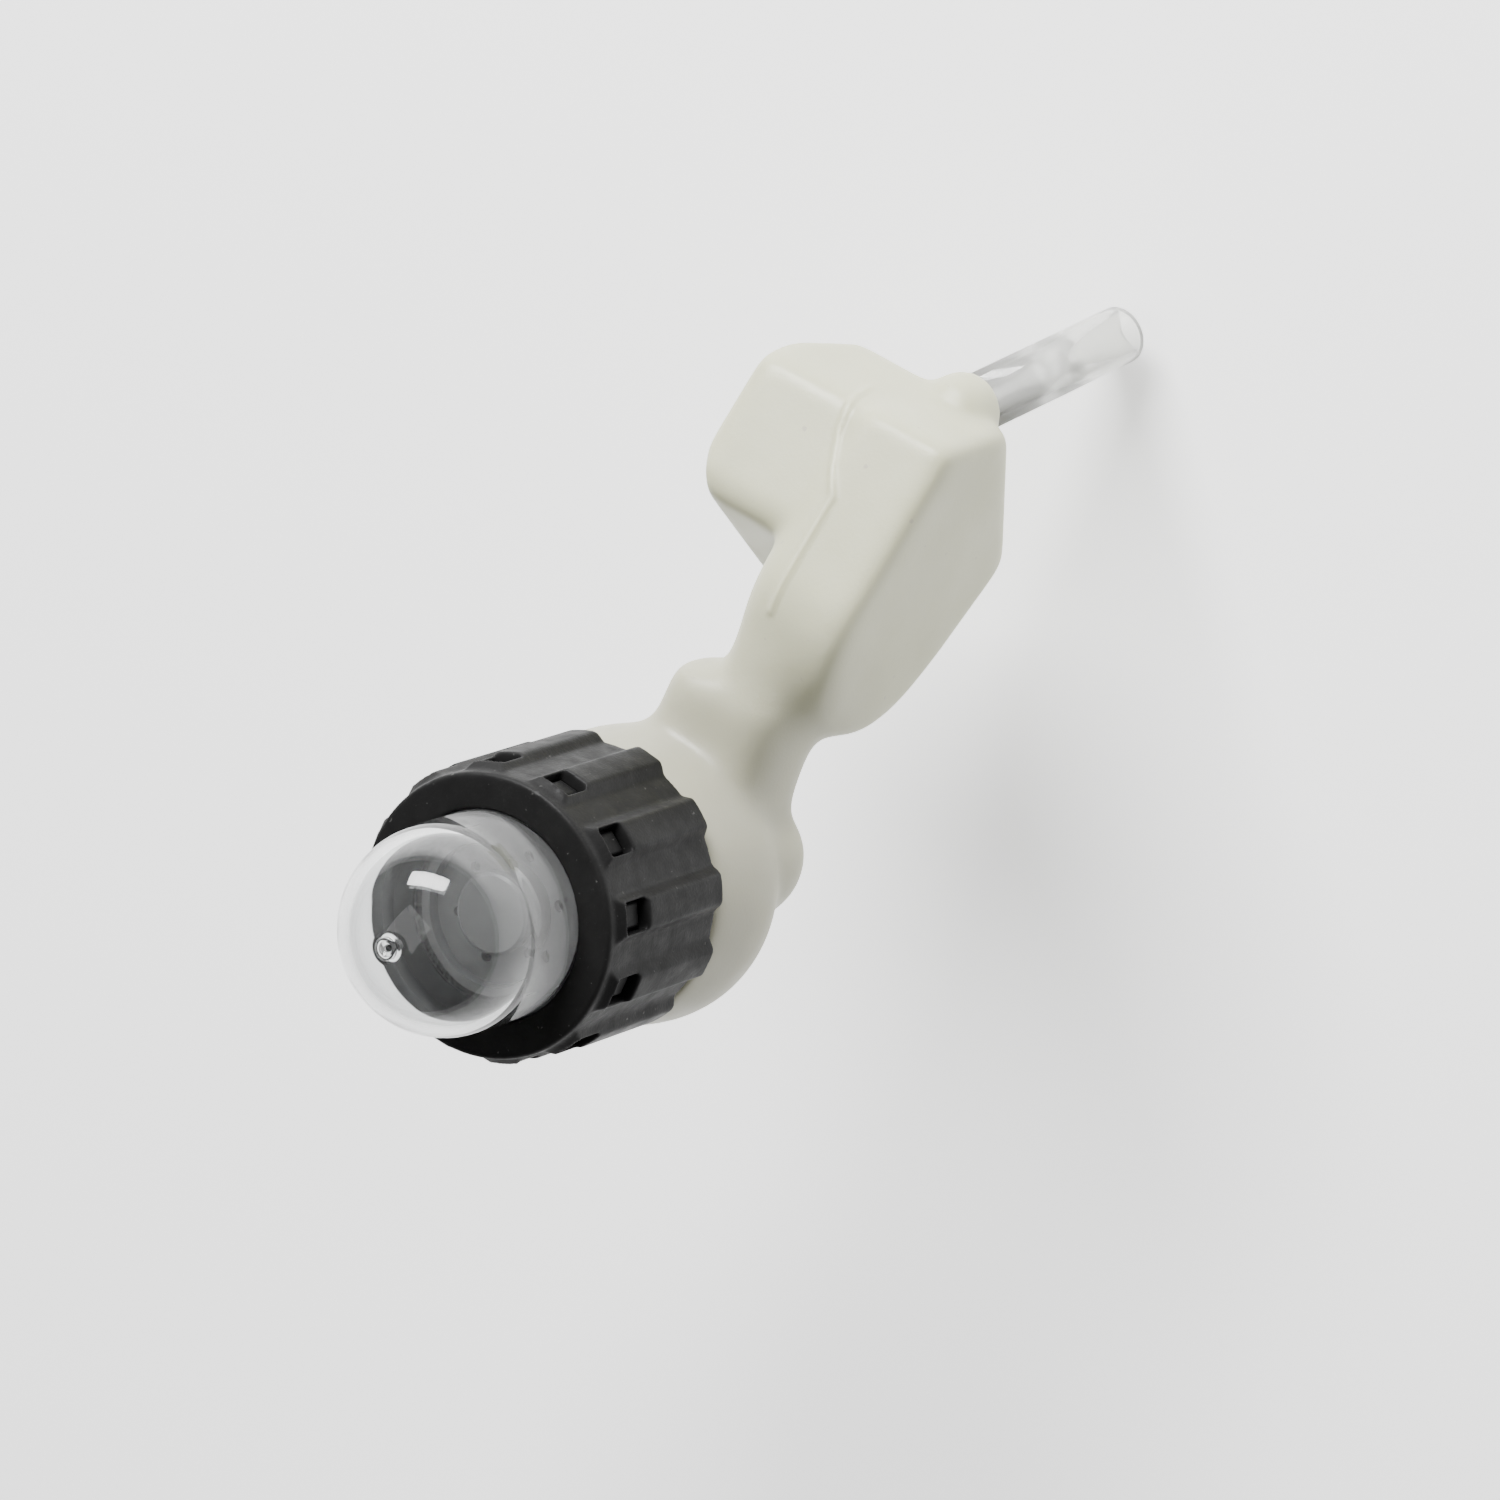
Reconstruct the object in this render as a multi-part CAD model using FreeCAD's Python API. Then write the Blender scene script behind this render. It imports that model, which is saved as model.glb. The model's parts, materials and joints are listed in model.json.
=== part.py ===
"""Squeeze-bulb oil tank: a blow-moulded tank with a threaded neck, a ribbed screw cap that carries
a clear pump bulb and its check valve, and an outlet tube with a pick-up hose and strainer inside.

Row frame, in millimetres: +Z is the cap's axis and points out of the tank, the origin is on that
axis in the plane of the shoulder's front face, +X is the way the tank rises from the neck, and Y is
across the tank's width.
"""
import FreeCAD, Part
import math
import os

V = FreeCAD.Vector
AXIS_X = V(1, 0, 0)
AXIS_Y = V(0, 1, 0)
AXIS_Z = V(0, 0, 1)

# How far a cutting body runs past the faces it cuts, a length that clears the whole tank, and
# the slack for picking out edges by their place
OVER = 1.0
FAR = 100.0
TINY = 0.01

# Tank wall and neck
WALL = 1.3
SMALL_ROUND = 0.3
NECK_R = 11.5
NECK_BORE_R = 9.5
NECK_TOP = 13.4
NECK_ROOT = 3.0

# Thread between neck and cap, right-handed, single start
PITCH = 3.0
THREAD_TURNS = 2.0
THREAD_DEPTH = 1.1
THREAD_ROOT = 1.1
THREAD_CREST = 0.6
THREAD_SINK = 0.3
NECK_THREAD_START = 4.5
CAP_THREAD_START = NECK_THREAD_START - PITCH / 2

# Cap
CAP_REAR = 0.4
CAP_FACE = 21.5
CAP_FACE_T = 2.0
CAP_RIB_R = 16.0
CAP_FLUTE_R = 14.95
CAP_FACE_R = 14.45
CAP_BORE_R = 14.2
RIB_FRONT = CAP_FACE - 1.1
RIB_COUNT = 12
RIB_STEP_DEG = 360.0 / RIB_COUNT
RIB_TURN_DEG = -4.5
RIB_HALF_DEG = 5.5
RIB_FLANK_DEG = 4.0
RIB_ROUND = 0.45
RIB_TAPER = 1.2
REAR_CHAMFER = 0.4
WINDOW_WIDTH = 3.3
WINDOW_FRONT = CAP_FACE - CAP_FACE_T - 0.2
WINDOW_REAR = WINDOW_FRONT - 4.0
BULB_HOLE_R = 11.08

# Threaded insert inside the cap
INSERT_R = 14.15
INSERT_BORE_R = 12.8
INSERT_REAR = 1.2
INSERT_TOP = 19.45
WEB_REAR = 14.8
WEB_TOP = 16.3
WEB_HOLE_R = 8.2
LUG_R = 14.9
LUG_ROOT_R = 13.3
LUG_WIDTH = 2.7
LUG_GAP = 0.3
LUG_ROUND = 0.5

# Valve plate under the bulb
PLATE_R = 12.7
PLATE_TOP = 18.3
MOAT_IN_R = 4.5
MOAT_OUT_R = 8.4
MOAT_FLOOR = 17.3
LIP_R = 9.4
LIP_TOP = 18.9
BOSS_TOP = 19.8
BOSS_ROUND = 0.35
AIR_HOLE_R = 0.6
AIR_HOLE_RING_R = 5.7
AIR_HOLES = 6

# Check valve: a rubber flap held by a stem in the plate's boss
STEM_R = 1.2
STEM_TOP = 18.6
FLAP_R = 7.2
FLAP_EDGE = 15.75
FLAP_MIDDLE = 15.2
FLAP_MIDDLE_R = 2.0

# Seals: an O-ring in a groove under the plate, and a flat gasket on the neck's lip
ORING_RING_R = 10.2
ORING_R = 0.65
GROOVE_HALF = 0.75
GASKET_IN_R = 9.7
GASKET_OUT_R = 12.5

# Pump bulb
BULB_R = 11.0
BULB_WALL = 1.2
BULB_STRAIGHT_TOP = 28.8
BULB_FLANGE_R = 12.7
BULB_SPLIT = 34.0
VENT_RING_R = 1.6
VENT_RING_HOLE_R = 1.0
VENT_RING_HEIGHT = 0.25
VENT_HOLE_R = 0.4

# Tank blocks, in a frame tilted back about Y whose origin is the top corner of the front face.
# Each side outline is a list of (up, depth, corner radius).
BLOCK_TILT_DEG = 25.5
BLOCK_ORIGIN = V(53.7, 0, -18.7)
TOP_CORNER = (6.2, -11.5, 2.8)
BACK_CORNER = (-4.8, -29.2, 3.0)
SLAB_LOW = -31.1
SLAB_END_R = 11.9
SLAB_OUTLINE = (
    (0.0, 0.0, 1.5),
    (SLAB_LOW, 0.0, SLAB_END_R),
    (SLAB_LOW, -23.4, SLAB_END_R),
    BACK_CORNER,
    TOP_CORNER,
)
LOBE_STEP = -1.2
LOBE_TOP = (6.9, -11.5, 2.2)
LOBE_OUTLINE = (
    (0.0, LOBE_STEP, 2.6),
    (-15.8, LOBE_STEP, 2.6),
    (-19.5, -26.8, 3.0),
    BACK_CORNER,
    LOBE_TOP,
)
SLAB_Y = (-12.5, 0.8)
SLAB_EDGES = (1.6, 3.9)
LOBE_Y = (-4.0, 13.0)
LOBE_EDGES = (1.6, 2.0)
# The lobe's outline from the front, as (up, y, corner radius)
LOBE_FRONT = (
    (9.0, -6.0, 1.0),
    (9.0, 5.0, 2.0),
    (1.8, 13.2, 4.0),
    (-11.0, 13.2, 4.0),
    (-24.0, 6.0, 1.0),
    (-24.0, -6.0, 1.0),
)

# Shoulder behind the cap: radius at each distance behind the origin plane
SHOULDER = ((0.0, 14.7), (-5.0, 15.7), (-11.0, 15.7), (-17.0, 11.5), (-20.5, 4.0))
SHOULDER_END = -20.9
SHOULDER_DROP = 0.8
BULGE_CENTRE = V(3.5, -7.0, -16.5)
BULGE_R = 6.9

# Waist between shoulder and slab, and the gusset that fills in between waist and knob
WAIST_SPAN = ((4.0, 28.0), (-9.9, 0.6), (-21.4, -9.0))
WAIST_R = 4.6
GUSSET_SPAN = ((0.0, 22.4), (-9.4, 5.0), (-18.4, -7.8))
GUSSET_R = 3.8

# Locating knob on the shoulder
KNOB_CENTRE = V(0, 0.8, -12.0)
KNOB_R = 4.6
KNOB_TOP = 22.8
KNOB_ROUND = 2.8

# Outlet boss and tube, and the elbow that joins the tube to the hose inside the tank
TUBE_DIR = V(0.24, -0.086, -0.966).normalize()
BOSS_RIM = V(53.7, -5.8, -34.4)
BOSS_R = 3.9
BOSS_BALL_R = 4.3
BOSS_BALL_DEPTH = 2.4
TUBE_R = 3.175
TUBE_BORE_R = 1.5875
TUBE_OUT = 25.4
TUBE_IN = 3.5
SEAT_R = 2.95
ELBOW_PLUG_R = 1.75
ELBOW_BORE_R = 0.9
ELBOW_FLANGE_R = 2.85
ELBOW_FLANGE_T = 0.8
ELBOW_NECK = 3.0
ELBOW_GRIP = 3.5
ELBOW_HOLE_R = 2.4
ELBOW_HOLE_DEPTH = 5.5

# Pick-up hose and strainer inside the tank; the foot is a point of the block frame
HOSE_R = 2.4
HOSE_BORE_R = 1.5875
STRAINER_FOOT = (-26.0, -5.8, -13.5)
STRAINER_R = 3.6
STRAINER_LENGTH = 9.0
CAGE_WALL = 0.5
CAGE_END_T = 0.9
CAGE_SLOTS = 4
CAGE_SLOT_WIDTH = 3.0
SCREEN_WALL = 0.25


def ring(inner, outer, low, high):
    """A flat ring about Z."""
    body = Part.makeCylinder(outer, high - low, V(0, 0, low))
    return body.cut(Part.makeCylinder(inner, high - low + 2 * OVER, V(0, 0, low - OVER)))


def revolve(points):
    """A solid of revolution about Z from (radius, height) points, listed once round."""
    outline = Part.makePolygon([V(r, 0, z) for r, z in points + points[:1]])
    return Part.Face(outline).revolve(V(0, 0, 0), AXIS_Z, 360)


def around(shape, count, first_deg=0.0):
    """Copies of a shape turned about Z in equal steps."""
    copies = []
    for i in range(count):
        copy = shape.copy()
        copy.rotate(V(0, 0, 0), AXIS_Z, first_deg + i * 360.0 / count)
        copies.append(copy)
    return copies


def tube(outer, inner, start, end):
    """A straight round tube from start to end."""
    length = (end - start).Length
    along = (end - start).normalize()
    body = Part.makeCylinder(outer, length, start, along)
    return body.cut(Part.makeCylinder(inner, length + 2 * OVER, start - along * OVER, along))


def polar(radius, degrees, height=0.0):
    """A point at a radius and an angle about Z."""
    turn = math.radians(degrees)
    return V(radius * math.cos(turn), radius * math.sin(turn), height)


def to_block(s, y, t):
    """A point of the tilted block frame in the row frame."""
    turn = FreeCAD.Rotation(AXIS_Y, BLOCK_TILT_DEG)
    return BLOCK_ORIGIN + turn.multVec(V(s, y, t))


def thread(root_r, outward, start):
    """A helical ridge on a cylinder of root_r, facing out or in, sunk a little into that cylinder."""
    sign = 1 if outward else -1
    buried = root_r - sign * THREAD_SINK
    crest = root_r + sign * THREAD_DEPTH
    profile = Part.makePolygon([
        V(buried, 0, start - THREAD_ROOT / 2),
        V(crest, 0, start - THREAD_CREST / 2),
        V(crest, 0, start + THREAD_CREST / 2),
        V(buried, 0, start + THREAD_ROOT / 2),
        V(buried, 0, start - THREAD_ROOT / 2),
    ])
    helix = Part.makeHelix(PITCH, PITCH * THREAD_TURNS, root_r)
    helix.translate(V(0, 0, start))
    return Part.Wire(helix.Edges).makePipeShell([profile], True, True)


def rounded_outline(corners):
    """A closed wire in the XZ plane through (x, z, radius) corners, each rounded by an arc."""
    points = [V(x, 0, z) for x, z, _ in corners]
    count = len(points)
    arcs = []
    for i, (_, _, radius) in enumerate(corners):
        before = (points[i - 1] - points[i]).normalize()
        after = (points[(i + 1) % count] - points[i]).normalize()
        half = before.getAngle(after) / 2
        reach = radius / math.tan(half)
        inward = (before + after).normalize()
        middle = points[i] + inward * (radius / math.sin(half) - radius)
        arcs.append((points[i] + before * reach, middle, points[i] + after * reach))
    edges = []
    for i, (start, middle, end) in enumerate(arcs):
        edges.append(Part.Arc(start, middle, end).toShape())
        following = arcs[(i + 1) % count][0]
        if (following - end).Length > TINY:
            edges.append(Part.LineSegment(end, following).toShape())
    return Part.Wire(Part.__sortEdges__(edges))


def inset_wire(corners, inset):
    """A rounded outline, moved inwards by inset for a cavity."""
    wire = rounded_outline(corners)
    return wire.makeOffset2D(-inset, 2, False, False, True) if inset else wire


def block(corners, y_span, edge_radii, inset):
    """A side outline extruded across Y with rounded rims, still in the block frame."""
    low, high = y_span[0] + inset, y_span[1] - inset
    face = Part.Face(inset_wire(corners, inset))
    face.translate(V(0, low, 0))
    solid = face.extrude(V(0, high - low, 0))
    for radius, side in zip(edge_radii, (-1, 1)):
        rim = max(solid.Faces, key=lambda f: side * f.CenterOfMass.y).Edges
        solid = solid.makeFillet(max(radius - inset, SMALL_ROUND), rim)
    return solid


def placed(solid):
    """A solid of the tilted block frame, moved to the row frame."""
    solid.rotate(V(0, 0, 0), AXIS_Y, BLOCK_TILT_DEG)
    solid.translate(BLOCK_ORIGIN)
    return solid


def slab(inset):
    """The tank's main block, on the right side."""
    return placed(block(SLAB_OUTLINE, SLAB_Y, SLAB_EDGES, inset))


def lobe(inset):
    """The tank's shorter block on the left, with slanting corners as seen from the front."""
    front = Part.Face(inset_wire(LOBE_FRONT, inset))
    front.rotate(V(0, 0, 0), AXIS_X, -90)
    front.translate(V(0, 0, -FAR))
    return placed(block(LOBE_OUTLINE, LOBE_Y, LOBE_EDGES, inset).common(front.extrude(V(0, 0, 2 * FAR))))


def shoulder(inset):
    """The round shoulder behind the cap."""
    shrink = 1 + inset / SHOULDER_END
    outline = [V(r - inset, 0, min(z * shrink, -inset)) for z, r in SHOULDER]
    outline.append(V(0, 0, SHOULDER_END + inset))
    curve = Part.BSplineCurve()
    curve.interpolate(outline)
    front = V(0, 0, -inset)
    edges = [
        curve.toShape(),
        Part.LineSegment(outline[-1], front).toShape(),
        Part.LineSegment(front, outline[0]).toShape(),
    ]
    body = Part.Face(Part.Wire(edges)).revolve(V(0, 0, 0), AXIS_Z, 360)
    body.translate(V(-SHOULDER_DROP, 0, 0))
    return body


def bar(spans, radius, inset):
    """A bar along X with rounded long edges, from its spans in X, Y and Z."""
    low = V(spans[0][0], spans[1][0] + inset, spans[2][0] + inset)
    size = V(spans[0][1], spans[1][1] - inset, spans[2][1] - inset) - low
    box = Part.makeBox(size.x, size.y, size.z, low)
    along = [e for e in box.Edges if e.BoundBox.XLength > size.x - TINY]
    return box.makeFillet(radius - inset, along)


def waist(inset):
    """The narrow link between the shoulder and the slab."""
    return bar(WAIST_SPAN, WAIST_R, inset)


def gusset(inset):
    """The gusset that fills in between the waist and the knob."""
    (start, end), across, deep = GUSSET_SPAN
    return bar(((start, end - inset), across, deep), GUSSET_R, inset)


def knob(inset):
    """The locating knob that stands on the shoulder."""
    length = KNOB_TOP - inset
    peg = Part.makeCylinder(KNOB_R - inset, length, KNOB_CENTRE, AXIS_X)
    rim = [e for e in peg.Edges if e.BoundBox.XMin > length - TINY]
    return peg.makeFillet(KNOB_ROUND - inset, rim)


def boss():
    """The outlet boss: a ball-ended hump that tapers to a round rim."""
    centre = BOSS_RIM - TUBE_DIR * BOSS_BALL_DEPTH
    taper = Part.makeCone(BOSS_BALL_R, BOSS_R, BOSS_BALL_DEPTH, centre, TUBE_DIR)
    return taper.fuse(Part.makeSphere(BOSS_BALL_R, centre, TUBE_DIR, -90, 0))


def tank_form(inset):
    """The tank's joined blocks, full size or shrunk by inset for the cavity."""
    parts = [
        slab(inset),
        lobe(inset),
        shoulder(inset),
        Part.makeSphere(BULGE_R - inset, BULGE_CENTRE),
        waist(inset),
        gusset(inset),
        knob(inset),
    ]
    return parts[0].multiFuse(parts[1:])


def drilled(radius, depth):
    """A hole of a radius down the outlet boss, to a depth behind its rim."""
    return Part.makeCylinder(radius, depth + OVER, BOSS_RIM - TUBE_DIR * depth, TUBE_DIR)


def tank():
    """The hollow tank with its threaded neck and outlet boss."""
    neck = Part.makeCylinder(NECK_R, NECK_TOP + NECK_ROOT, V(0, 0, -NECK_ROOT))
    body = tank_form(0).multiFuse([neck, boss(), thread(NECK_R, True, NECK_THREAD_START)])
    bore = Part.makeCylinder(NECK_BORE_R, NECK_TOP + NECK_ROOT + OVER, V(0, 0, -NECK_ROOT))
    seat = drilled(SEAT_R, TUBE_IN + ELBOW_FLANGE_T)
    return body.cut(tank_form(WALL).multiFuse([bore, seat, drilled(ELBOW_HOLE_R, ELBOW_HOLE_DEPTH)]))


def rib_outline():
    """The cap's outer outline: rounded ribs between shallow flutes, as one closed wire."""
    edges = []
    for i in range(RIB_COUNT):
        middle = RIB_TURN_DEG + i * RIB_STEP_DEG
        rise = middle - RIB_HALF_DEG - RIB_FLANK_DEG
        fall = middle + RIB_HALF_DEG + RIB_FLANK_DEG
        after = rise + RIB_STEP_DEG
        crest_start = polar(CAP_RIB_R, middle - RIB_HALF_DEG)
        crest_end = polar(CAP_RIB_R, middle + RIB_HALF_DEG)
        edges.append(Part.LineSegment(polar(CAP_FLUTE_R, rise), crest_start).toShape())
        edges.append(Part.Arc(crest_start, polar(CAP_RIB_R, middle), crest_end).toShape())
        edges.append(Part.LineSegment(crest_end, polar(CAP_FLUTE_R, fall)).toShape())
        flute_middle = polar(CAP_FLUTE_R, (fall + after) / 2)
        edges.append(Part.Arc(polar(CAP_FLUTE_R, fall), flute_middle, polar(CAP_FLUTE_R, after)).toShape())
    return Part.Wire(Part.__sortEdges__(edges))


def cap_shell():
    """The ribbed outer cap, with a window at the front of each rib and a hole for the bulb."""
    length = RIB_FRONT - CAP_REAR
    ribs = Part.Face(rib_outline()).extrude(V(0, 0, length))
    upright = [e for e in ribs.Edges if abs(e.BoundBox.ZLength - length) < TINY]
    ribs = ribs.makeFillet(RIB_ROUND, upright)
    ribs.translate(V(0, 0, CAP_REAR))
    ends = revolve([
        (0, CAP_REAR),
        (CAP_RIB_R - REAR_CHAMFER, CAP_REAR),
        (CAP_RIB_R + OVER, CAP_REAR + RIB_TAPER),
        (CAP_RIB_R + OVER, RIB_FRONT - 2 * RIB_TAPER),
        (CAP_FLUTE_R, RIB_FRONT),
        (0, RIB_FRONT),
    ])
    crown = Part.makeCylinder(CAP_FLUTE_R, CAP_FACE - RIB_FRONT + OVER, V(0, 0, RIB_FRONT - OVER))
    rim = [e for e in crown.Edges if e.BoundBox.ZMin > CAP_FACE - TINY]
    crown = crown.makeFillet(CAP_FLUTE_R - CAP_FACE_R, rim)
    body = ribs.common(ends).fuse(crown)
    depth = CAP_FACE - CAP_FACE_T - CAP_REAR
    inside = Part.makeCylinder(CAP_BORE_R, depth + OVER, V(0, 0, CAP_REAR - OVER))
    hole = Part.makeCylinder(BULB_HOLE_R, CAP_FACE + OVER)
    window = Part.makeBox(CAP_RIB_R, WINDOW_WIDTH, WINDOW_FRONT - WINDOW_REAR,
                          V(CAP_BORE_R - OVER, -WINDOW_WIDTH / 2, WINDOW_REAR))
    return body.cut([inside, hole] + around(window, RIB_COUNT, RIB_TURN_DEG))


def threaded_insert():
    """The inner cup that carries the cap's thread and clips into the shell with a lug at each window."""
    cup = revolve([
        (INSERT_BORE_R, INSERT_REAR),
        (INSERT_R, INSERT_REAR),
        (INSERT_R, INSERT_TOP),
        (INSERT_BORE_R, INSERT_TOP),
        (INSERT_BORE_R, WEB_TOP),
        (WEB_HOLE_R, WEB_TOP),
        (WEB_HOLE_R, WEB_REAR),
        (INSERT_BORE_R, WEB_REAR),
    ])
    length = WINDOW_FRONT - WINDOW_REAR - 2 * LUG_GAP
    lug = Part.makeBox(LUG_R - LUG_ROOT_R, LUG_WIDTH, length,
                       V(LUG_ROOT_R, -LUG_WIDTH / 2, WINDOW_REAR + LUG_GAP))
    outer = [e for e in lug.Edges if e.BoundBox.XMin > LUG_R - TINY]
    lug = lug.makeFillet(LUG_ROUND, outer)
    ridge = thread(INSERT_BORE_R, False, CAP_THREAD_START)
    return cup.multiFuse(around(lug, RIB_COUNT, RIB_TURN_DEG) + [ridge])


def valve_plate():
    """The disc under the bulb: a flat-topped boss, a moat with air holes, a lip and a seal groove."""
    plate = revolve([
        (0, WEB_TOP),
        (PLATE_R, WEB_TOP),
        (PLATE_R, PLATE_TOP),
        (LIP_R, PLATE_TOP),
        (LIP_R, LIP_TOP),
        (MOAT_OUT_R, LIP_TOP),
        (MOAT_OUT_R, MOAT_FLOOR),
        (MOAT_IN_R, MOAT_FLOOR),
        (MOAT_IN_R, BOSS_TOP - BOSS_ROUND),
        (MOAT_IN_R - BOSS_ROUND, BOSS_TOP),
        (0, BOSS_TOP),
    ])
    stem_hole = Part.makeCylinder(STEM_R, STEM_TOP - WEB_TOP + OVER, V(0, 0, WEB_TOP - OVER))
    groove_top = WEB_TOP + 2 * ORING_R
    groove = ring(ORING_RING_R - GROOVE_HALF, ORING_RING_R + GROOVE_HALF, WEB_TOP - OVER, groove_top)
    below = V(AIR_HOLE_RING_R, 0, WEB_TOP - OVER)
    hole = Part.makeCylinder(AIR_HOLE_R, MOAT_FLOOR - WEB_TOP + 2 * OVER, below)
    return plate.cut([stem_hole, groove] + around(hole, AIR_HOLES))


def check_valve():
    """The rubber flap that covers the air holes from below, with its stem in the boss."""
    return revolve([
        (0, FLAP_MIDDLE),
        (FLAP_MIDDLE_R, FLAP_MIDDLE),
        (FLAP_R, FLAP_EDGE),
        (FLAP_R, WEB_TOP),
        (STEM_R, WEB_TOP),
        (STEM_R, STEM_TOP),
        (0, STEM_TOP),
    ])


def plate_seal():
    """The O-ring in the groove under the valve plate."""
    return Part.makeTorus(ORING_RING_R, ORING_R, V(0, 0, WEB_TOP + ORING_R))


def neck_gasket():
    """The flat gasket between the neck's lip and the insert's web."""
    return ring(GASKET_IN_R, GASKET_OUT_R, NECK_TOP, WEB_REAR)


def bulb():
    """The whole pump bulb: flange, straight wall and dome with a small vent ring at the top."""
    dome_top = BULB_STRAIGHT_TOP + BULB_R
    body = ring(BULB_R - BULB_WALL, BULB_R, PLATE_TOP, BULB_STRAIGHT_TOP)
    flange = ring(BULB_R - BULB_WALL, BULB_FLANGE_R, PLATE_TOP, INSERT_TOP)
    centre = V(0, 0, BULB_STRAIGHT_TOP)
    outer_dome = Part.makeSphere(BULB_R, centre, AXIS_Z, 0, 90)
    dome = outer_dome.cut(Part.makeSphere(BULB_R - BULB_WALL, centre))
    vent_ring = ring(VENT_RING_HOLE_R, VENT_RING_R, dome_top - BULB_WALL / 2, dome_top + VENT_RING_HEIGHT)
    vent = Part.makeCylinder(VENT_HOLE_R, 2 * BULB_WALL, V(0, 0, dome_top - 2 * BULB_WALL + OVER))
    return body.multiFuse([flange, dome, vent_ring]).cut(vent)


def bulb_slice(low, high):
    """The part of the bulb between two heights."""
    return bulb().common(Part.makeCylinder(2 * BULB_R, high - low, V(0, 0, low)))


def bulb_wall():
    """The bulb's flange and lower wall, which buckles as the bulb is pressed."""
    return bulb_slice(PLATE_TOP, BULB_SPLIT)


def bulb_crown():
    """The bulb's crown, which the thumb pushes in."""
    return bulb_slice(BULB_SPLIT, BULB_STRAIGHT_TOP + BULB_R + OVER)


def outlet_tube():
    """The straight outlet tube; inside the tank's boss it is squeezed between the seat and the plug."""
    free = tube(TUBE_R, TUBE_BORE_R, BOSS_RIM, BOSS_RIM + TUBE_DIR * TUBE_OUT)
    return free.fuse(tube(SEAT_R, ELBOW_PLUG_R, BOSS_RIM - TUBE_DIR * TUBE_IN, BOSS_RIM))


def hose_line():
    """The elbow's middle, and the direction from it to the strainer's foot."""
    middle = BOSS_RIM - TUBE_DIR * (TUBE_IN + ELBOW_FLANGE_T / 2)
    return middle, (to_block(*STRAINER_FOOT) - middle).normalize()


def outlet_elbow():
    """The hollow elbow: a plug in the outlet tube, a flange, and a nipple that points at the strainer."""
    middle, down = hose_line()
    half_flange = TUBE_DIR * (ELBOW_FLANGE_T / 2)
    plug = Part.makeCylinder(ELBOW_PLUG_R, TUBE_IN, middle + half_flange, TUBE_DIR)
    flange = Part.makeCylinder(ELBOW_FLANGE_R, ELBOW_FLANGE_T, middle - half_flange, TUBE_DIR)
    nipple = Part.makeCylinder(HOSE_BORE_R, ELBOW_NECK + ELBOW_GRIP, middle, down)
    nipple = nipple.cut(Part.makeCylinder(TUBE_R, TUBE_IN, middle + half_flange, TUBE_DIR))
    turn = Part.makeSphere(ELBOW_BORE_R, middle)
    bores = [
        Part.makeCylinder(ELBOW_BORE_R, TUBE_IN + OVER, middle, TUBE_DIR),
        Part.makeCylinder(ELBOW_BORE_R, ELBOW_NECK + ELBOW_GRIP + OVER, middle, down),
    ]
    return plug.multiFuse([flange, nipple]).cut([turn] + bores)


def strainer_top():
    """The middle of the strainer's top face, and the direction down its length."""
    down = hose_line()[1]
    return to_block(*STRAINER_FOOT) - down * STRAINER_LENGTH, down


def pickup_hose():
    """The soft hose from the elbow down to the strainer."""
    middle, down = hose_line()
    return tube(HOSE_R, HOSE_BORE_R, middle + down * ELBOW_NECK, strainer_top()[0])


def strainer_cage():
    """The slotted strainer body with a nipple that the hose fits over."""
    top, down = strainer_top()
    body = Part.makeCylinder(STRAINER_R, STRAINER_LENGTH, top, down)
    nipple = Part.makeCylinder(HOSE_BORE_R, ELBOW_GRIP + CAGE_END_T, top - down * ELBOW_GRIP, down)
    core_length = STRAINER_LENGTH - 2 * CAGE_END_T
    core = Part.makeCylinder(STRAINER_R - CAGE_WALL, core_length, top + down * CAGE_END_T, down)
    bore_start = top - down * (ELBOW_GRIP + OVER)
    bore = Part.makeCylinder(ELBOW_BORE_R, ELBOW_GRIP + 2 * OVER, bore_start, down)
    half_way = top + down * (STRAINER_LENGTH / 2)
    across = down.cross(AXIS_Y).normalize()
    slots = []
    for i in range(CAGE_SLOTS):
        slot = Part.makeCylinder(CAGE_SLOT_WIDTH / 2, STRAINER_R + OVER, half_way, across)
        slot.rotate(half_way, down, i * 360.0 / CAGE_SLOTS)
        slots.append(slot)
    return body.fuse(nipple).cut([core, bore] + slots)


def strainer_screen():
    """The screen sleeve inside the strainer body."""
    top, down = strainer_top()
    outer = STRAINER_R - CAGE_WALL
    start = top + down * CAGE_END_T
    return tube(outer, outer - SCREEN_WALL, start, top + down * (STRAINER_LENGTH - CAGE_END_T))


PARTS = {
    "tank": tank,
    "outlet_tube": outlet_tube,
    "outlet_elbow": outlet_elbow,
    "pickup_hose": pickup_hose,
    "strainer_cage": strainer_cage,
    "strainer_screen": strainer_screen,
    "neck_gasket": neck_gasket,
    "cap_shell": cap_shell,
    "threaded_insert": threaded_insert,
    "valve_plate": valve_plate,
    "check_valve": check_valve,
    "plate_seal": plate_seal,
    "bulb_wall": bulb_wall,
    "bulb_crown": bulb_crown,
}


def main():
    os.makedirs("parts", exist_ok=True)
    for name, make in PARTS.items():
        shape = make()
        print(name, "valid" if shape.isValid() else "not valid", len(shape.Solids), "solid")
        shape.exportStep("parts/%s.step" % name)


main()
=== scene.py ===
"""Looks for the squeeze-bulb oil tank: soft moulded tank, satin black cap, clear bulb and clear tube.

Everything is in metres in the row frame: +Z is the cap's axis, +X the way the tank rises.
"""
import json
import math
import bpy
import numpy as np
from mathutils import Matrix, Vector


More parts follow.
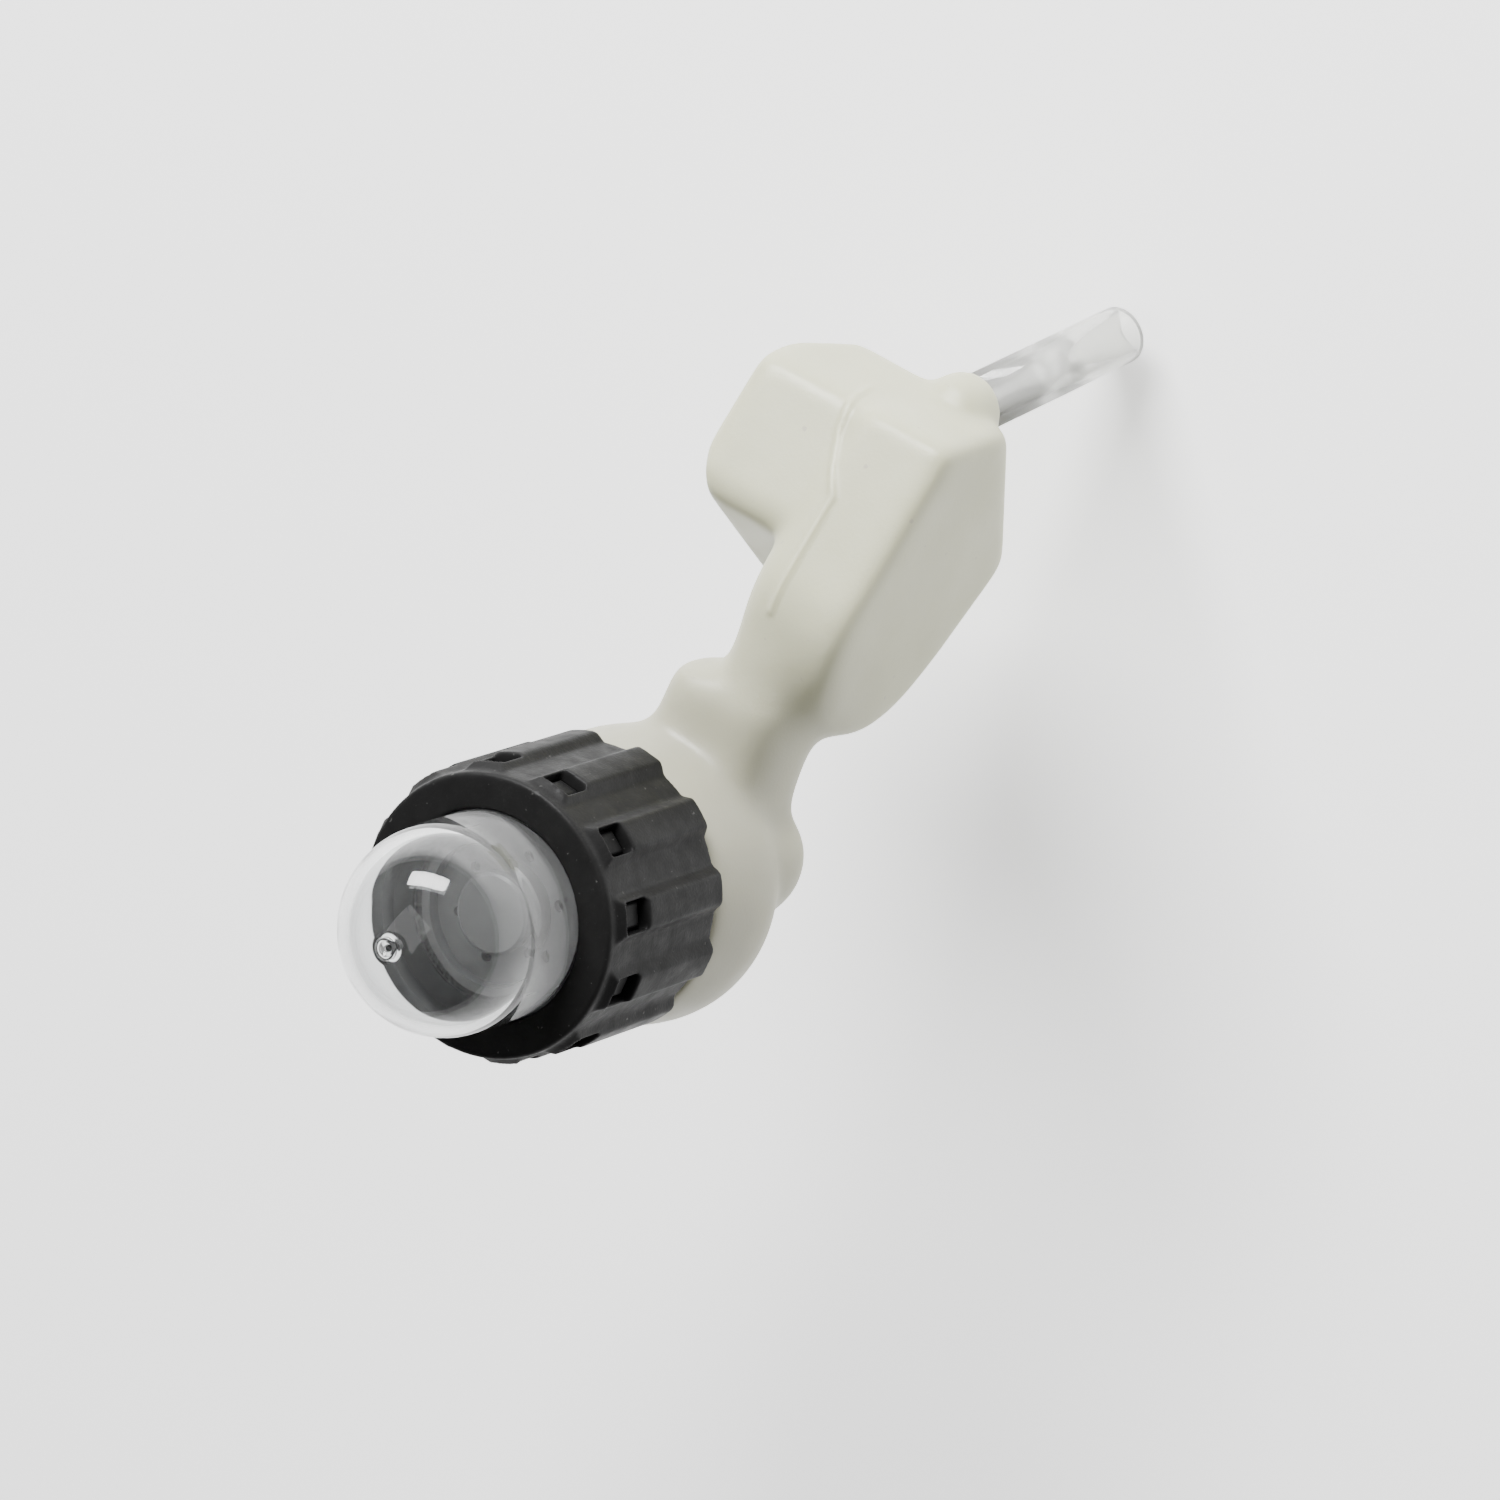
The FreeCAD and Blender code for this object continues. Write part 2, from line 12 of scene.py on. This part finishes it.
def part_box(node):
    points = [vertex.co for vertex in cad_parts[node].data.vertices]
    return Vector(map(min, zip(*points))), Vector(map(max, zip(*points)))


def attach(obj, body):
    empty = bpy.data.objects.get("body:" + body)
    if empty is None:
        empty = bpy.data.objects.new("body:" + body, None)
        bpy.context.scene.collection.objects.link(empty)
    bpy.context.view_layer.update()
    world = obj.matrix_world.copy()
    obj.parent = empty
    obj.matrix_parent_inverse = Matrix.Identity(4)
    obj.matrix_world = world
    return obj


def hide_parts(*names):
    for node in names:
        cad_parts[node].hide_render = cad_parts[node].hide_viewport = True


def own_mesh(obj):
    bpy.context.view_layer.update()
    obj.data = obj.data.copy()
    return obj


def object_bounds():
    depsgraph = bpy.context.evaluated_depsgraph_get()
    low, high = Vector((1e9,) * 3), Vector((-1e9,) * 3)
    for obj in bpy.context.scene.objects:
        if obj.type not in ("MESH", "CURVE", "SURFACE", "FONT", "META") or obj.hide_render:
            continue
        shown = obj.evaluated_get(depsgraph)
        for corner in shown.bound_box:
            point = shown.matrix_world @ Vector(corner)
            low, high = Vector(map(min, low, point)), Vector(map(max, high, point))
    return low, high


MM = 0.001

# Camera: the picture's right, up and back directions in the row frame
VIEW_RIGHT = Vector((0.329, -0.798, -0.505))
VIEW_BACK = Vector((0.360, -0.389, 0.848)).normalized()
VIEW_TARGET = Vector((16.5, -6.0, -11.8)) * MM
VIEW_WIDTH = 156.25 * MM
VIEW_DISTANCE = 0.9
SENSOR = 36.0

# Light, as distances, sizes and strengths
SKY = 0.22
FLOOR_GLOW = 0.9
FLOOR_REACH = 6.0
FLOOR_DROP = 2 * MM
LIGHT_DISTANCE = 0.7
KEY_POWER = 17.5
KEY_SIZE = (0.5, 0.2)
FILL_POWER = 2.2
FILL_SIZE = (0.5, 0.5)

# Tank block frame, as in the CAD: up the slab's front face, and out of it
BLOCK_TILT = math.radians(25.5)
BLOCK_ORIGIN = Vector((53.7, 0, -18.7)) * MM
BLOCK_UP = Vector((math.cos(BLOCK_TILT), 0, -math.sin(BLOCK_TILT)))
BLOCK_OUT = Vector((math.sin(BLOCK_TILT), 0, math.cos(BLOCK_TILT)))

# Tank surface: rounds of softening, and the spans over which each region fades in
TANK_VOXEL = 0.36 * MM
TANK_ROUNDS = 40
SADDLE_ROUNDS = 90
SADDLE_UP = (-28 * MM, -16 * MM)
SADDLE_X = (6 * MM, 14 * MM)
NECK_KEEP_R = (13.2 * MM, 14.2 * MM)
NECK_KEEP_Z = (-2 * MM, -0.5 * MM)
SEAT_KEEP_R = (3.3 * MM, 4.6 * MM)
SEAT_KEEP_DEPTH = (-6 * MM, -4 * MM)
SEAT_KEEP_SHARE = 0.9
RIDGE_HEIGHT = 0.42 * MM
RIDGE_HALF = 0.60 * MM
RIDGE_FACING = (0.2, 0.6)
RIDGE_OUT = (-6 * MM, -4 * MM)
RIDGE_PATH = ((3.0, 1.4), (0.0, 1.0), (-3.6, 0.2), (-7.4, -1.6), (-10.0, -3.4), (-23.5, -3.6))

# Cap surface
CAP_VOXEL = 0.19 * MM
CAP_ROUNDS = 5

# Bulb
BULB_R = 11.0 * MM
BULB_WALL = 1.2 * MM
BULB_EDGE = 0.07 * MM
VENT_RING_R = 1.2 * MM
VENT_RING_HOLE_R = 0.8 * MM
VENT_HOLE_R = 0.4 * MM
VENT_RING_HEIGHT = 0.15 * MM
LATHE_STEPS = 160
DOME_STEPS = 26

# Tube
TUBE_R = 3.175 * MM
TUBE_BORE_R = 1.5875 * MM
TUBE_EDGE = 0.25 * MM
TUBE_EDGE_MIDDLE = 0.3 * TUBE_EDGE
TUBE_IN = 3.5 * MM
SEAT_R = 2.95 * MM
PLUG_R = 1.75 * MM

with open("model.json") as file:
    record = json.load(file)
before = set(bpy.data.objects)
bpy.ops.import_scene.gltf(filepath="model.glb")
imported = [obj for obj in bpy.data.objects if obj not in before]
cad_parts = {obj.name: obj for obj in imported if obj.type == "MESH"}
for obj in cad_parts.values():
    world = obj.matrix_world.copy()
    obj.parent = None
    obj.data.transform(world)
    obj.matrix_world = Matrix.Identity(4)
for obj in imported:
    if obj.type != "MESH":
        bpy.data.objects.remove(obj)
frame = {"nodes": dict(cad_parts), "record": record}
cad_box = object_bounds()
record = frame["record"]


class Look:
    """A Principled material with a few helpers for its procedural nodes."""

    def __init__(self, name, **sockets):
        self.material = bpy.data.materials.new(name)
        self.material.use_nodes = True
        self.nodes = self.material.node_tree.nodes
        self.links = self.material.node_tree.links
        self.shader = self.nodes["Principled BSDF"]
        for socket, value in sockets.items():
            self.shader.inputs[socket.replace("_", " ")].default_value = value
        self.place = self.nodes.new("ShaderNodeTexCoord").outputs["Object"]

    def noise(self, scale, detail=3.0, rough=0.55):
        """Noise of a scale, in features per metre."""
        node = self.nodes.new("ShaderNodeTexNoise")
        node.inputs["Scale"].default_value = scale
        node.inputs["Detail"].default_value = detail
        node.inputs["Roughness"].default_value = rough
        self.links.new(self.place, node.inputs["Vector"])
        return node.outputs["Fac"]

    def ranged(self, value, low, high, to_low=0.0, to_high=1.0):
        """A value mapped from one range to another."""
        node = self.nodes.new("ShaderNodeMapRange")
        node.inputs["From Min"].default_value = low
        node.inputs["From Max"].default_value = high
        node.inputs["To Min"].default_value = to_low
        node.inputs["To Max"].default_value = to_high
        self.links.new(value, node.inputs["Value"])
        return node.outputs["Result"]

    def mixed(self, share, first, second):
        """Two colours mixed by a share; either may be a socket."""
        node = self.nodes.new("ShaderNodeMix")
        node.data_type = "RGBA"
        self.links.new(share, node.inputs["Factor"])
        for socket, colour in ((node.inputs[6], first), (node.inputs[7], second)):
            if isinstance(colour, tuple):
                socket.default_value = (*colour, 1.0)
            else:
                self.links.new(colour, socket)
        return node.outputs[2]

    def nearness(self, close, far):
        """How close a point is to the neck, from 1 within the first distance to 0 at the second."""
        node = self.nodes.new("ShaderNodeVectorMath")
        node.operation = "LENGTH"
        self.links.new(self.place, node.inputs[0])
        return self.ranged(node.outputs["Value"], close, far, 1.0, 0.0)

    def edges(self, low, high):
        """How far a point is on an outer edge, from 0 to 1."""
        return self.ranged(self.nodes.new("ShaderNodeNewGeometry").outputs["Pointiness"], low, high)

    def feed(self, socket, value):
        """Drives one of the shader's sockets."""
        self.links.new(value, self.shader.inputs[socket])

    def bump(self, *layers):
        """Bumps of (height, depth in metres), one over the other."""
        before = None
        for height, depth in layers:
            node = self.nodes.new("ShaderNodeBump")
            node.inputs["Distance"].default_value = depth
            self.links.new(height, node.inputs["Height"])
            if before:
                self.links.new(before, node.inputs["Normal"])
            before = node.outputs["Normal"]
        self.feed("Normal", before)
        return self


def tank_look():
    """Milky moulded polyethylene: cloudy, waxy, with faint ripples, a few trapped specks, and painted shade
    that darkens it towards the neck, partly also standing for the black cap seen through the wall.
    """
    look = Look("tank_plastic", Subsurface_Weight=0.45, Subsurface_Scale=2.5 * MM, IOR=1.5,
                Subsurface_Radius=(1.0, 0.95, 0.8), Specular_IOR_Level=0.42)
    clouds = look.ranged(look.noise(70, 4), 0.3, 0.7)
    colour = look.mixed(clouds, (0.46, 0.46, 0.32), (0.51, 0.51, 0.365))
    specks = look.ranged(look.noise(900, 1), 0.76, 0.80)
    colour = look.mixed(specks, colour, (0.40, 0.38, 0.30))
    # Darker towards the neck: painted shade on the shoulder, partly also the black cap seen through the wall.
    look.feed("Base Color", look.mixed(look.nearness(16 * MM, 38 * MM), colour, (0.33, 0.322, 0.245)))
    look.feed("Roughness", look.ranged(look.noise(160, 5), 0.3, 0.7, 0.34, 0.50))
    return look.bump((look.noise(110, 2), 0.14 * MM), (look.noise(2600, 3), 0.018 * MM)).material


def black_look(name, shade, grain, edge_lift):
    """Black moulded plastic with spark-eroded grain, convex edges made lighter, and a little dust."""
    look = Look(name, IOR=1.5, Specular_IOR_Level=0.10)
    base = look.mixed(look.ranged(look.noise(240, 4), 0.3, 0.7), (shade,) * 3, (shade * 1.5,) * 3)
    # Convex edges, found from the mesh's pointiness, are made lighter by a factor.
    lighter_edges = look.mixed(look.edges(0.52, 0.62), base, (shade * edge_lift, shade * edge_lift, shade * edge_lift * 1.02))
    dust = look.ranged(look.noise(1500, 2), 0.70, 0.78, 0.0, 0.35)
    look.feed("Base Color", look.mixed(dust, lighter_edges, (0.16, 0.16, 0.155)))
    look.feed("Roughness", look.ranged(look.noise(420, 5), 0.3, 0.7, 0.40, 0.58))
    return look.bump((look.noise(260, 3), 0.08 * MM), (look.noise(grain, 3), 0.03 * MM)).material


def clear_look(name, tint, rough, clearness):
    """Clear soft plastic, a little smeared."""
    look = Look(name, IOR=1.42, Transmission_Weight=clearness)
    look.feed("Base Color", look.mixed(look.ranged(look.noise(130, 3), 0.3, 0.7), tint,
                                       tuple(c * 0.97 for c in tint)))
    look.feed("Roughness", look.ranged(look.noise(300, 4), 0.35, 0.7, rough, rough * 2.2))
    return look.bump((look.noise(90, 2), 0.10 * MM)).material


def plain_look(name, colour, rough, grain, depth, metallic=0.0):
    """A moulded, rubber or woven piece with a mottled colour and a fine grain."""
    look = Look(name, Metallic=metallic)
    darker = tuple(c * 0.8 for c in colour)
    look.feed("Base Color", look.mixed(look.ranged(look.noise(350, 4), 0.3, 0.7), darker, colour))
    look.feed("Roughness", look.ranged(look.noise(500, 4), 0.3, 0.7, rough - 0.07, rough + 0.07))
    return look.bump((look.noise(grain, 3), depth)).material


LOOKS = {
    "tank_plastic": tank_look(),
    "cap_black": black_look("cap_black", 0.007, 3200, 3.0),
    "insert_black": black_look("insert_black", 0.003, 2600, 2.0),
    "plate_grey": plain_look("plate_grey", (0.15, 0.15, 0.15), 0.34, 1800, 0.02 * MM),
    "bulb_clear": clear_look("bulb_clear", (0.90, 0.91, 0.91), 0.02, 0.98),
    "clear_tube": clear_look("clear_tube", (0.88, 0.885, 0.855), 0.09, 0.80),
    "white_plastic": plain_look("white_plastic", (0.72, 0.71, 0.66), 0.40, 1500, 0.02 * MM),
    "hose_rubber": plain_look("hose_rubber", (0.030, 0.030, 0.030), 0.55, 2200, 0.02 * MM),
    "seal_rubber": plain_look("seal_rubber", (0.022, 0.022, 0.023), 0.50, 2400, 0.015 * MM),
    "screen_mesh": plain_look("screen_mesh", (0.55, 0.55, 0.54), 0.35, 3500, 0.05 * MM, 1.0),
}


def new_piece(name, mesh, slot, body, *stands_for):
    """Links a finished mesh as a piece that rides on a body and stands for CAD nodes."""
    piece = bpy.data.objects.new(name, mesh)
    bpy.context.scene.collection.objects.link(piece)
    mesh.materials.clear()
    mesh.materials.append(LOOKS[slot])
    mesh.polygons.foreach_set("use_smooth", [True] * len(mesh.polygons))
    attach(piece, body)
    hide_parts(*stands_for)
    return piece


def voxel_copy(node, voxel):
    """A copy of a CAD node's mesh, rebuilt from voxels so that it can be softened."""
    copy = bpy.data.objects.new(node + "_voxels", frame["nodes"][node].data.copy())
    bpy.context.scene.collection.objects.link(copy)
    modifier = copy.modifiers.new("voxels", "REMESH")
    modifier.mode = "VOXEL"
    modifier.voxel_size = voxel
    found = copy.evaluated_get(bpy.context.evaluated_depsgraph_get())
    mesh = bpy.data.meshes.new_from_object(found)
    bpy.data.objects.remove(copy)
    return mesh


def points_of(mesh):
    """The mesh's vertices as an array."""
    points = np.zeros(len(mesh.vertices) * 3)
    mesh.vertices.foreach_get("co", points)
    return points.reshape(-1, 3)


def normals_of(mesh):
    """The mesh's vertex normals as an array."""
    normals = np.zeros(len(mesh.vertices) * 3)
    mesh.vertices.foreach_get("normal", normals)
    return normals.reshape(-1, 3)


def set_points(mesh, points):
    """Writes the vertices back."""
    mesh.vertices.foreach_set("co", points.ravel())
    mesh.update()


def relax(mesh, share, rounds):
    """Moves each vertex towards its neighbours' middle, by half of its share, some rounds over."""
    points = points_of(mesh)
    edges = np.zeros(len(mesh.edges) * 2, int)
    mesh.edges.foreach_get("vertices", edges)
    first, second = edges.reshape(-1, 2).T
    count = len(points)
    neighbours = np.bincount(edges, minlength=count)[:, None]
    for _ in range(rounds):
        total = np.empty_like(points)
        for k in range(3):
            total[:, k] = (np.bincount(first, points[second, k], count)
                           + np.bincount(second, points[first, k], count))
        points += 0.5 * share[:, None] * (total / neighbours - points)
    set_points(mesh, points)


def ramp(value, low, high):
    """A smooth step from 0 at low to 1 at high."""
    t = np.clip((value - low) / (high - low), 0, 1)
    return t * t * (3 - 2 * t)


def path_distance(points, path):
    """The distance of 2-D points from a path."""
    nearest = np.full(len(points), np.inf)
    for start, end in zip(path[:-1], path[1:]):
        along = end - start
        t = np.clip((points - start) @ along / (along @ along), 0, 1)
        nearest = np.minimum(nearest, np.linalg.norm(points - start - t[:, None] * along, axis=1))
    return nearest


def mount(name):
    """A mount's place, axis and sizes."""
    found = next(m for m in record["mounts"] if m["name"] == name)
    return Vector(found["pos_m"]), Vector(found["axis"]).normalized(), found["dims"]


def distance_along(points, direction, start=BLOCK_ORIGIN):
    """How far each point is from a start, along a direction."""
    return (points - np.array(start)) @ np.array(direction)


def kept_true(points):
    """How much of each point's place is kept at the neck and the tube's seat, from 0 to 1."""
    from_axis = np.hypot(points[:, 0], points[:, 1])
    neck = (1 - ramp(from_axis, *NECK_KEEP_R)) * ramp(points[:, 2], *NECK_KEEP_Z)
    place, axis, dims = mount("tube_end_bore")
    rim = place - axis * dims["length_mm"] / 2 * MM
    depth = distance_along(points, axis, rim)
    from_tube = np.linalg.norm(points - np.array(rim) - depth[:, None] * np.array(axis), axis=1)
    seat = (1 - ramp(from_tube, *SEAT_KEEP_R)) * ramp(depth, *SEAT_KEEP_DEPTH)
    return np.maximum(neck, SEAT_KEEP_SHARE * seat)


def raise_ridge(mesh):
    """Raises the moulded line on the tank's front."""
    points = points_of(mesh)
    facing = normals_of(mesh) @ np.array(BLOCK_OUT)
    front = ramp(facing, *RIDGE_FACING) * ramp(distance_along(points, BLOCK_OUT), *RIDGE_OUT)
    flat = np.column_stack((distance_along(points, BLOCK_UP), points[:, 1]))
    away = path_distance(flat, np.array(RIDGE_PATH) * MM)
    height = RIDGE_HEIGHT * (1 - ramp(away, 0, RIDGE_HALF)) * front
    set_points(mesh, points + height[:, None] * np.array(BLOCK_OUT))


def make_tank():
    """The tank with soft blends, softest at the saddle between shoulder and slab."""
    mesh = voxel_copy("tank", TANK_VOXEL)
    share = 1 - kept_true(points_of(mesh))
    relax(mesh, share, TANK_ROUNDS)
    points = points_of(mesh)
    saddle = (1 - ramp(distance_along(points, BLOCK_UP), *SADDLE_UP)) * ramp(points[:, 0], *SADDLE_X)
    relax(mesh, share * saddle, SADDLE_ROUNDS)
    raise_ridge(mesh)
    return new_piece("tank_body", mesh, "tank_plastic", "tank", "tank")


def make_cap():
    """The cap shell with its edges softened."""
    mesh = voxel_copy("cap_shell", CAP_VOXEL)
    relax(mesh, np.ones(len(mesh.vertices)), CAP_ROUNDS)
    return new_piece("cap_shell_body", mesh, "cap_black", "cap", "cap_shell")


def lathe(name, outline, centre=Vector((0, 0, 0)), axis=Vector((0, 0, 1))):
    """A closed outline of (radius, height) points turned about an axis."""
    side = axis.orthogonal().normalized()
    across = axis.cross(side)
    count = len(outline)
    vertices = []
    for i in range(LATHE_STEPS):
        turn = 2 * math.pi * i / LATHE_STEPS
        out = side * math.cos(turn) + across * math.sin(turn)
        vertices += [centre + out * r + axis * z for r, z in outline]
    faces = []
    for i in range(LATHE_STEPS):
        following = (i + 1) % LATHE_STEPS
        for k in range(count):
            after = (k + 1) % count
            faces.append((i * count + k, following * count + k, following * count + after, i * count + after))
    mesh = bpy.data.meshes.new(name)
    mesh.from_pydata(vertices, [], faces)
    mesh.update()
    return mesh


def arc(radius, height, first, last, steps):
    """Outline points on a circle about the axis, between two angles above the level."""
    turns = np.linspace(first, last, steps)
    return [(radius * math.cos(t), height + radius * math.sin(t)) for t in turns]


def make_bulb():
    """The whole bulb as one clear moulding, built in its unpressed shape."""
    low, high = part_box("bulb_wall")
    base = low.z
    flange_r = high.x
    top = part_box("bulb_crown")[1].z - VENT_RING_HEIGHT
    level = top - BULB_R
    inner_r = BULB_R - BULB_WALL
    flange_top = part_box("threaded_insert")[1].z
    ring_angle = math.acos(VENT_RING_R / BULB_R)
    ring_top = top + VENT_RING_HEIGHT
    outline = [(inner_r, base), (flange_r - BULB_EDGE, base), (flange_r, base + BULB_EDGE),
               (flange_r, flange_top - BULB_EDGE), (flange_r - BULB_EDGE, flange_top), (BULB_R, flange_top)]
    outline += arc(BULB_R, level, 0, ring_angle, DOME_STEPS)
    outline += [(VENT_RING_R, ring_top - BULB_EDGE), (VENT_RING_R - BULB_EDGE, ring_top),
                (VENT_RING_HOLE_R + BULB_EDGE, ring_top), (VENT_RING_HOLE_R, ring_top - BULB_EDGE),
                (VENT_RING_HOLE_R, top), (VENT_HOLE_R, top)]
    outline += arc(inner_r, level, math.acos(VENT_HOLE_R / inner_r), 0, DOME_STEPS)
    bulb = new_piece("bulb", lathe("bulb", outline), "bulb_clear", "cap", "bulb_wall", "bulb_crown")
    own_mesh(bulb)
    return bulb


def make_tube():
    """The outlet tube, with softened ends."""
    middle, axis, dims = mount("tube_end_bore")
    half = dims["length_mm"] / 2 * MM
    low, rim, high = -half - TUBE_IN, -half, half
    outline = [(TUBE_BORE_R, rim), (PLUG_R, rim), (PLUG_R, low), (SEAT_R, low), (SEAT_R, rim), (TUBE_R, rim),
               (TUBE_R, high - TUBE_EDGE),
               (TUBE_R - TUBE_EDGE_MIDDLE, high - TUBE_EDGE_MIDDLE), (TUBE_R - TUBE_EDGE, high),
               (TUBE_BORE_R + TUBE_EDGE, high), (TUBE_BORE_R, high - TUBE_EDGE)]
    return new_piece("outlet_tube_body", lathe("outlet_tube", outline, middle, axis), "clear_tube",
                     "tank", "outlet_tube")


def dress_nodes(replaced):
    """Gives every CAD node that stays on show its slot's material."""
    slots = {s["node"]: s["material_slot"] for s in record["subparts"]}
    for name, node in frame["nodes"].items():
        if name not in replaced:
            node.data.materials.clear()
            node.data.materials.append(LOOKS[slots[name]])


def area_light(name, offset, size, power):
    """A soft light of a width and height that points at the object."""
    data = bpy.data.lights.new(name, "AREA")
    data.shape = "RECTANGLE"
    data.size, data.size_y = size
    data.energy = power
    light = bpy.data.objects.new(name, data)
    light.location = VIEW_TARGET + offset
    light.rotation_mode = "QUATERNION"
    light.rotation_quaternion = (-offset).to_track_quat("-Z", "Y")
    bpy.context.scene.collection.objects.link(light)
    return light


def make_floor(level):
    """A pale floor that glows a little."""
    mesh = bpy.data.meshes.new("floor")
    corners = ((-1, -1), (1, -1), (1, 1), (-1, 1))
    mesh.from_pydata([(x * FLOOR_REACH, y * FLOOR_REACH, level) for x, y in corners], [], [(0, 1, 2, 3)])
    floor = bpy.data.objects.new("floor", mesh)
    look = Look("floor_white", Roughness=0.9, Specular_IOR_Level=0.1)
    look.feed("Base Color", look.mixed(look.ranged(look.noise(6, 2), 0.3, 0.7), (0.86,) * 3, (0.88,) * 3))
    look.shader.inputs["Emission Color"].default_value = (1, 1, 1, 1)
    look.shader.inputs["Emission Strength"].default_value = FLOOR_GLOW
    mesh.materials.append(look.material)
    bpy.context.scene.collection.objects.link(floor)


def make_lights():
    """A pale sky, a key light from the picture's top, and a fill that isn't mirrored in the gloss."""
    world = bpy.data.worlds.new("studio")
    world.use_nodes = True
    world.node_tree.nodes["Background"].inputs["Color"].default_value = (1, 1, 1, 1)
    world.node_tree.nodes["Background"].inputs["Strength"].default_value = SKY
    bpy.context.scene.world = world
    up = VIEW_BACK.cross(VIEW_RIGHT).normalized()
    from_top = up * 0.8 + VIEW_BACK * 0.6 - VIEW_RIGHT * 0.3
    from_left = VIEW_BACK * 0.8 - VIEW_RIGHT * 0.7
    area_light("key", from_top * LIGHT_DISTANCE, KEY_SIZE, KEY_POWER)
    fill = area_light("fill", from_left * LIGHT_DISTANCE, FILL_SIZE, FILL_POWER)
    fill.visible_glossy = False


def make_camera():
    """A long lens at the picture's viewing angle."""
    data = bpy.data.cameras.new("camera")
    data.sensor_width = SENSOR
    data.lens = SENSOR * VIEW_DISTANCE / VIEW_WIDTH
    camera = bpy.data.objects.new("camera", data)
    right = (VIEW_RIGHT - VIEW_BACK * VIEW_RIGHT.dot(VIEW_BACK)).normalized()
    up = VIEW_BACK.cross(right)
    turn = Matrix((right, up, VIEW_BACK)).transposed()
    camera.matrix_world = Matrix.Translation(VIEW_TARGET + VIEW_BACK * VIEW_DISTANCE) @ turn.to_4x4()
    bpy.context.scene.collection.objects.link(camera)
    bpy.context.scene.camera = camera


make_tank()
make_cap()
make_bulb()
make_tube()
dress_nodes(("tank", "cap_shell", "bulb_wall", "bulb_crown", "outlet_tube"))
make_floor(cad_box[0].z - FLOOR_DROP)
make_lights()
make_camera()
